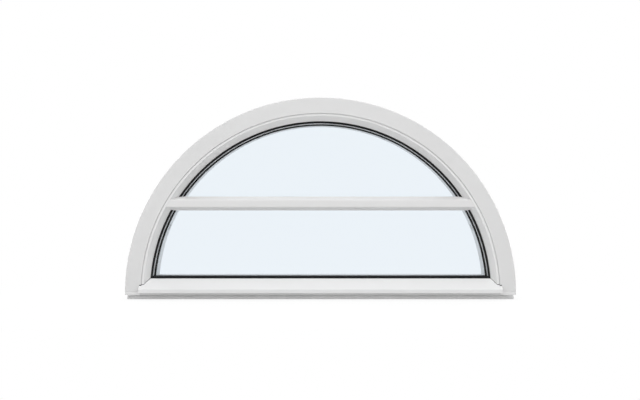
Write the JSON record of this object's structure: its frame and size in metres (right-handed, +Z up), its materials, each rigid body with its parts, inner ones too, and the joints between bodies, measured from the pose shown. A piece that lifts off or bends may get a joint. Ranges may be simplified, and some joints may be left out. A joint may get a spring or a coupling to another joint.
{
  "type": "half-round fixed window",
  "caption": "White half-round fixed window: painted timber arch and sill rail, bevelled glazing bead, sloping drip sill bead, double glazing and one horizontal glazing bar",
  "frame": {"origin": "underside of the base strip, at the centre of the whole width and depth", "axes": "+X along the sill to the right seen from outside, +Y from outside to inside, +Z up"},
  "size_m": [1, 0.115, 0.5195],
  "materials": {
    "frame_paint": "timber sprayed with white satin paint",
    "bead_paint": "milled timber section with white satin paint",
    "sill_coating": "white powder coat on an extrusion",
    "cap_plastic": "white moulded plastic",
    "base_plastic": "pale grey extruded plastic",
    "gasket_rubber": "black extruded rubber",
    "glass": "clear float glass",
    "spacer_black": "slim matt black spacer strip",
    "edge_sealant": "pale grey sealant",
    "block_plastic": "hard moulded plastic"
  },
  "bodies": {
    "root": {"arch_piece_1": "frame_paint", "arch_piece_2": "frame_paint", "arch_piece_3": "frame_paint", "arch_piece_4": "frame_paint", "bottom_rail": "frame_paint", "arch_bead": "bead_paint", "outer_bar": "bead_paint", "inner_bar": "bead_paint", "sill_bead": "sill_coating", "sill_cap_left": "cap_plastic", "sill_cap_right": "cap_plastic", "base_strip": "base_plastic", "outer_gasket_arch": "gasket_rubber", "outer_gasket_sill": "gasket_rubber", "inner_gasket": "gasket_rubber", "outer_pane": "glass", "inner_pane": "glass", "spacer": "spacer_black", "cavity_bar": "spacer_black", "edge_seal": "edge_sealant", "setting_blocks": "block_plastic"}
  },
  "joints": []
}
